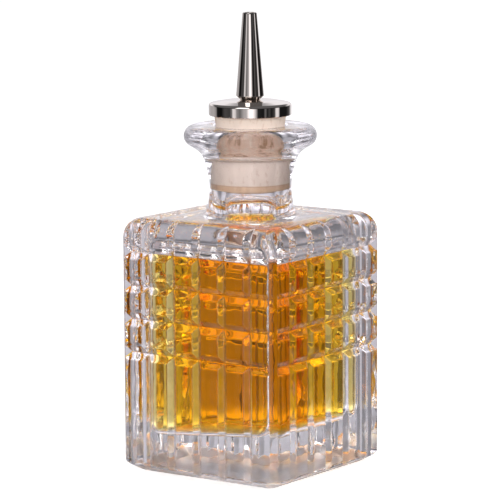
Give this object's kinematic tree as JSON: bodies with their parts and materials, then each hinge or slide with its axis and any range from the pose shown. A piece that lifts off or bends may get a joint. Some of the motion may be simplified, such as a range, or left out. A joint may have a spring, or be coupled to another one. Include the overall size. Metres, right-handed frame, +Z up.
{
  "type": "bitters bottle",
  "caption": "Square cut-glass bitters bottle with a round lip, a tapered cork and a conical metal dash pourer, partly filled with amber liquid.",
  "frame": {"origin": "centre of the base, on the surface the bottle stands on", "axes": "+Z up along the neck and spout; X and Y square to the flat faces of the body"},
  "size_m": [0.052, 0.052, 0.1271],
  "materials": {
    "glass": "clear pressed and cut glass, polished",
    "bitters": "clear amber liquid",
    "cork": "fine-grained pale cork",
    "chrome": "polished chrome plate",
    "steel": "plain drawn tube",
    "insert": "moulded plastic"
  },
  "bodies": {
    "bottle": {"bottle": "glass", "bitters": "bitters"},
    "stopper": {"cork": "cork", "cap_flange": "chrome", "spout": "chrome", "shank_tube": "steel", "dash_insert": "insert"}
  },
  "joints": [
    {"name": "stopper_pull", "type": "slide", "parent": "bottle", "child": "stopper", "axis": [0, 0, 1], "range_m": [0, 0.03]}
  ]
}
